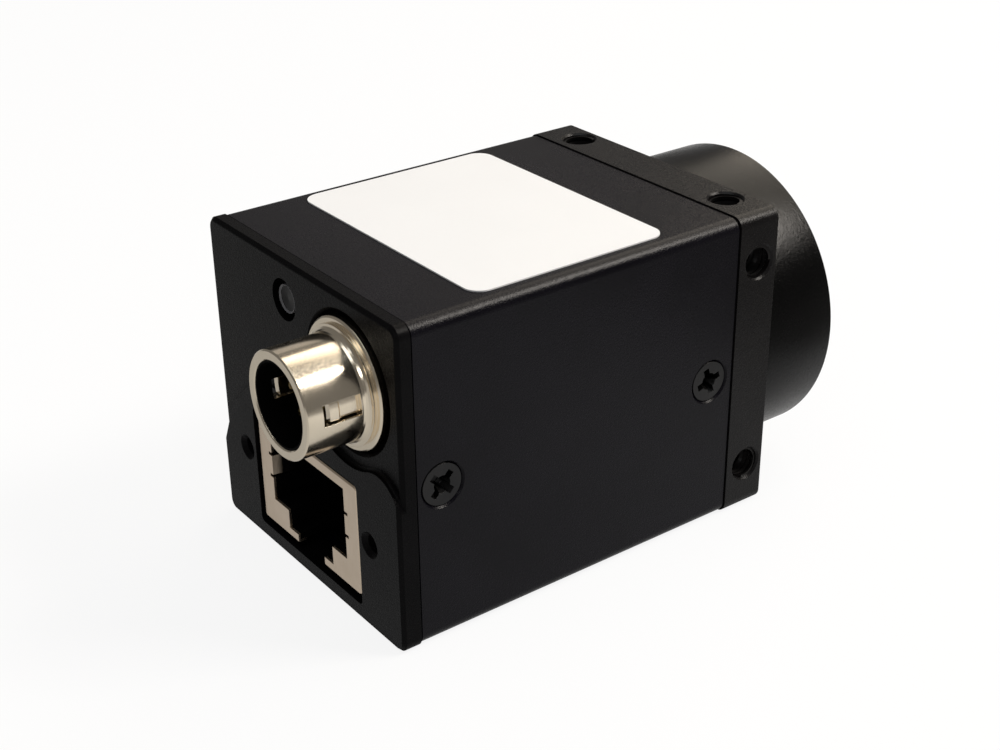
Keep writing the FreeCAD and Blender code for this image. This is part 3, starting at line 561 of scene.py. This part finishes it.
def bare_metal(name, dark, light, low, high, grain, stretch=(1, 1, 1), recess_shade=0.0, bright_y=None):
    """Plated or plain metal with fine tool or roll marks; a painted shade darkens it inside deep recesses,
    out to the given distance, and another painted shade darkens it further back along Y than bright_y."""
    finish = Finish(name)
    marks = finish.noise(grain, 3.0, 0.6, stretch)
    haze = finish.noise(0.003, 2.0)
    colour = finish.tint(haze, dark, light)
    if recess_shade:
        # Painted shade: ambient occlusion darkens the colour inside deep recesses.
        depth = finish.tree.nodes.new("ShaderNodeAmbientOcclusion")
        depth.samples = 8
        depth.inputs["Distance"].default_value = recess_shade
        recessed = finish.spread(depth.outputs["AO"], 0.15, 0.6, 1.0, 0.0)
        colour = finish.over(recessed, colour, (0.02, 0.018, 0.015))
    if bright_y is not None:
        # Painted shade: the metal turns near black deeper inside than bright_y.
        along_y = finish.tree.nodes.new("ShaderNodeVectorMath")
        along_y.operation = "DOT_PRODUCT"
        along_y.inputs[1].default_value = (0, 1, 0)
        finish.link(finish.place, along_y.inputs[0])
        deep = finish.spread(along_y.outputs["Value"], bright_y - 0.4 * MM, bright_y, 1.0, 0.0)
        colour = finish.over(deep, colour, (0.012, 0.011, 0.010))
    finish.colour(colour)
    finish.roughness(finish.spread(marks, 0.3, 0.7, low, high))
    finish.set(Metallic=1.0)
    finish.soften(0.00006)
    finish.bump(marks, 0.000003, 0.35)
    return finish.material


brass = bare_metal("turned_brass", (0.60, 0.46, 0.20), (0.72, 0.56, 0.28), 0.25, 0.4, 0.0003)
steel = bare_metal("plain_steel", (0.45, 0.45, 0.45), (0.6, 0.6, 0.6), 0.25, 0.4, 0.0003)
chip_black = soft_black("chip_epoxy", (0.02, 0.02, 0.022), 0.55, 0.0002)
for name in ("front_spacers", "rear_spacers"):
    paint(name, brass)
for name in ("board_screws", "heat_spreader", "power_capacitors"):
    paint(name, steel)
for name in ("front_stack_connector", "rear_stack_connector", "memory_chips", "processor_chip",
             "network_transformer", "power_inductors", "io_header"):
    paint(name, chip_black)
paint("thermal_pad", soft_black("pad_grey", (0.35, 0.40, 0.48), 0.8, 0.0004))

# Sleeve. A square extruded aluminium tube, bead blasted and dyed black. It slides over the front
# block's spigot and the rear cover's lip, and four countersunk side screws hold it to them.
sleeve_black = blasted_anodise("sleeve_anodise", (0.0016, 0.0013, 0.0028), (0.0034, 0.0029, 0.0054),
                               0.25, 0.15)
paint("housing_sleeve", sleeve_black)

# Side screws. M2 countersunk steel screws with a cross recess and a black oxide finish, one at each
# end of both sides. They pass through the sleeve into the block's spigot and the cover's ears.
screw_black = bare_metal("black_oxide", (0.028, 0.028, 0.029), (0.048, 0.047, 0.047), 0.25, 0.4, 0.0002)


def side_screw_recipe():
    """A countersunk head with a tapered cross recess cut in it, on a short shank; cut out in millimetres."""
    recipe = Recipe("side_screw", Head_Radius=1.90, Rim=0.16, Shank_Radius=0.93, Length=3.5,
                    Recess=1.34, Recess_Width=0.64, Recess_Depth=1.15)

    def frustum(count, bottom, top, low, high, turn=0.0):
        made = recipe.add("GeometryNodeMeshCone", Vertices=count, Radius_Top=top, Radius_Bottom=bottom,
                          Depth=recipe.math("SUBTRACT", high, low))
        return recipe.add("GeometryNodeTransform", Geometry=made.outputs["Mesh"], Rotation=(0, 0, turn),
                          Translation=recipe.vector(z=low)).outputs[0]

    def joined(operation, first, *others):
        made = recipe.add("GeometryNodeMeshBoolean", {"operation": operation, "solver": "MANIFOLD"})
        if operation == "UNION":
            others = (first, *others)
        else:
            recipe.tree.links.new(first, made.inputs["Mesh 1"])
        for piece in others:
            recipe.tree.links.new(piece, made.inputs["Mesh 2"])
        return made.outputs[0]

    head, shank, rim, overlap = recipe["Head_Radius"], recipe["Shank_Radius"], recipe["Rim"], 0.05
    under_rim = recipe.math("MULTIPLY", rim, -1.0)
    cone_end = recipe.math("SUBTRACT", under_rim, recipe.math("SUBTRACT", head, shank))
    crown = frustum(72, head, recipe.math("SUBTRACT", head, 0.07), under_rim, 0.0)
    flank = frustum(72, recipe.math("ADD", shank, 0.01), recipe.math("SUBTRACT", head, 0.02), cone_end,
                    recipe.math("ADD", under_rim, overlap))
    stem = frustum(48, shank, shank, recipe.math("MULTIPLY", recipe["Length"], -1.0),
                   recipe.math("ADD", cone_end, overlap))
    blank = joined("UNION", crown, flank, stem)
    foot = recipe.math("MULTIPLY", recipe["Recess_Depth"], -1.0)
    arms = []
    for across in (0, 1):
        half, reach = recipe.math("MULTIPLY", recipe["Recess_Width"], 0.5), recipe["Recess"]
        size = recipe.vector(reach, half, 1.0) if across else recipe.vector(half, reach, 1.0)
        arm = frustum(4, 0.6 * math.sqrt(2), math.sqrt(2), foot, 0.12 + 0.03 * across, math.pi / 4)
        arms.append(recipe.add("GeometryNodeTransform", Geometry=arm, Scale=size).outputs[0])
    pit = frustum(20, 0.34, 0.86, recipe.math("SUBTRACT", foot, 0.1), 0.2)
    cut = joined("DIFFERENCE", blank, joined("UNION", *arms, pit))
    clean = recipe.add("GeometryNodeMergeByDistance", Geometry=cut, Distance=0.003)
    small = recipe.add("GeometryNodeTransform", Geometry=clean.outputs[0], Scale=(MM, MM, MM))
    recipe.finish_at_places(small.outputs[0])
    return recipe


screw_places = []
for name in ("front_side_screws", "rear_side_screws"):
    low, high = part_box(name)
    for side in (-1, 1):
        spin = 17.0 if name == "front_side_screws" else 47.0
        screw_places.append(((side * (high.x - 0.01 * MM), (low.y + high.y) / 2, 0), (side, 0, 0), spin))
side_screws = side_screw_recipe().make("side_screws", screw_places, screw_black, 30.0)
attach(side_screws, "root")
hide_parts("front_side_screws", "rear_side_screws")

# Rear cover. Aluminium milled with a raised lower field round the jack, blasted and dyed black.
# It plugs into the sleeve's end and is held by the two rear side screws.
cover_black = blasted_anodise("cover_anodise", (0.0016, 0.0015, 0.0018), (0.0034, 0.0032, 0.0036),
                              0.28, 0.052, shade_reach=0.0009)
paint("rear_cover", cover_black)

# Network jack. A folded can of tinned steel sheet round a black nylon moulding, with eight sprung
# gold-plated wires. It stands on the interface board and looks out of the cover's cut-out.
can_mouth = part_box("jack_shield")[1].y
# The can's inside and its depth behind the mouth get painted shade.
can_steel = bare_metal("tinned_sheet", (0.76, 0.62, 0.47), (0.93, 0.78, 0.62), 0.28, 0.42, 0.0002,
                       (1, 1, 0.15), recess_shade=3.0 * MM, bright_y=can_mouth - 0.5 * MM)
gold = bare_metal("contact_gold", (0.80, 0.58, 0.25), (0.92, 0.70, 0.34), 0.15, 0.28, 0.0002)
moulding = soft_black("jack_nylon", (0.0012, 0.0012, 0.0013), 0.6, 0.0003, 0.04)
paint("jack_shield", can_steel)
paint("jack_body", moulding)
paint("jack_contacts", gold)

# Round connector. A turned brass shell, nickel plated, with six gold-plated pins in a black
# insulator. It stands on the cover and is pulled tight by a nut from inside.
nickel = bare_metal("bright_nickel", (0.80, 0.70, 0.54), (0.90, 0.80, 0.65), 0.14, 0.22, 0.0002)
paint("io_shell", nickel)
paint("io_nut", nickel)
paint("io_insulator", moulding)
paint("io_pins", gold)

# Status light. A smoked acrylic light pipe, moulded with a dished face and a narrow lip, pressed
# into the cover's well over a white diode.
pipe_low, pipe_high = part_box("light_pipe")
pipe_x, pipe_z = (pipe_low.x + pipe_high.x) / 2, (pipe_low.z + pipe_high.z) / 2
pipe_radius = (pipe_high.x - pipe_low.x) / 2
pipe_top, lip_slope = pipe_high.y, math.tan(math.radians(52))
dish_radius, lip_width = pipe_radius - 0.05 * MM, 0.11 * MM
dish_floor = pipe_top - lip_width * lip_slope
pipe_outline = [(0.0, pipe_low.y), (pipe_radius, pipe_low.y), (pipe_radius, pipe_top - 0.03 * MM),
                (pipe_radius - 0.03 * MM, pipe_top), (dish_radius, pipe_top),
                (dish_radius - lip_width, dish_floor), (0.0, dish_floor)]
smoked = Finish("smoked_acrylic")
smoked_haze = smoked.noise(0.0009, 2.0)
smoked.roughness(smoked.spread(smoked_haze, 0.3, 0.7, 0.05, 0.12))
across = smoked.node("ShaderNodeVectorMath")
across.operation = "MULTIPLY"
across.inputs[1].default_value = (1, 0, 1)
smoked.link(smoked.place, across.inputs[0])
from_axis = smoked.node("ShaderNodeVectorMath")
from_axis.operation = "DISTANCE"
from_axis.inputs[1].default_value = (pipe_x, 0, pipe_z)
smoked.link(across.outputs["Vector"], from_axis.inputs[0])
# Painted highlight: the narrow lip is coloured pale grey to stand in for the bright crescent at the pipe's
# edge.
lip_start = dish_radius - lip_width
lip_highlight_mask = smoked.spread(from_axis.outputs["Value"], lip_start, lip_start + 0.01 * MM, 0.0, 1.0)
face_tint = smoked.tint(smoked_haze, (0.004, 0.004, 0.0045), (0.010, 0.010, 0.011))
smoked.colour(smoked.over(lip_highlight_mask, face_tint, (0.13, 0.13, 0.14)))
smoked.set(Specular_IOR_Level=0.08)
light_face = turned_piece("light_pipe_moulding", pipe_outline, smoked.material, pipe_x, pipe_z,
                          segments=72, round_off=0.015 * MM)
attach(light_face, "root")
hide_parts("light_pipe")
diode = soft_black("diode_case", (0.75, 0.72, 0.60), 0.4, 0.0003)
paint("status_led", diode)

# Label. A blank film of white polyester with rounded corners, die cut and stuck to the sleeve's
# top by its own adhesive.
film = Finish("label_film")
fibre = film.noise(0.0004, 3.0)
film.colour(film.tint(film.noise(0.008, 2.0), (0.78, 0.79, 0.805), (0.81, 0.82, 0.835)))
film.roughness(film.spread(fibre, 0.3, 0.7, 0.38, 0.5))
film.bump(fibre, 0.000004, 0.3)
paint("label", film.material)
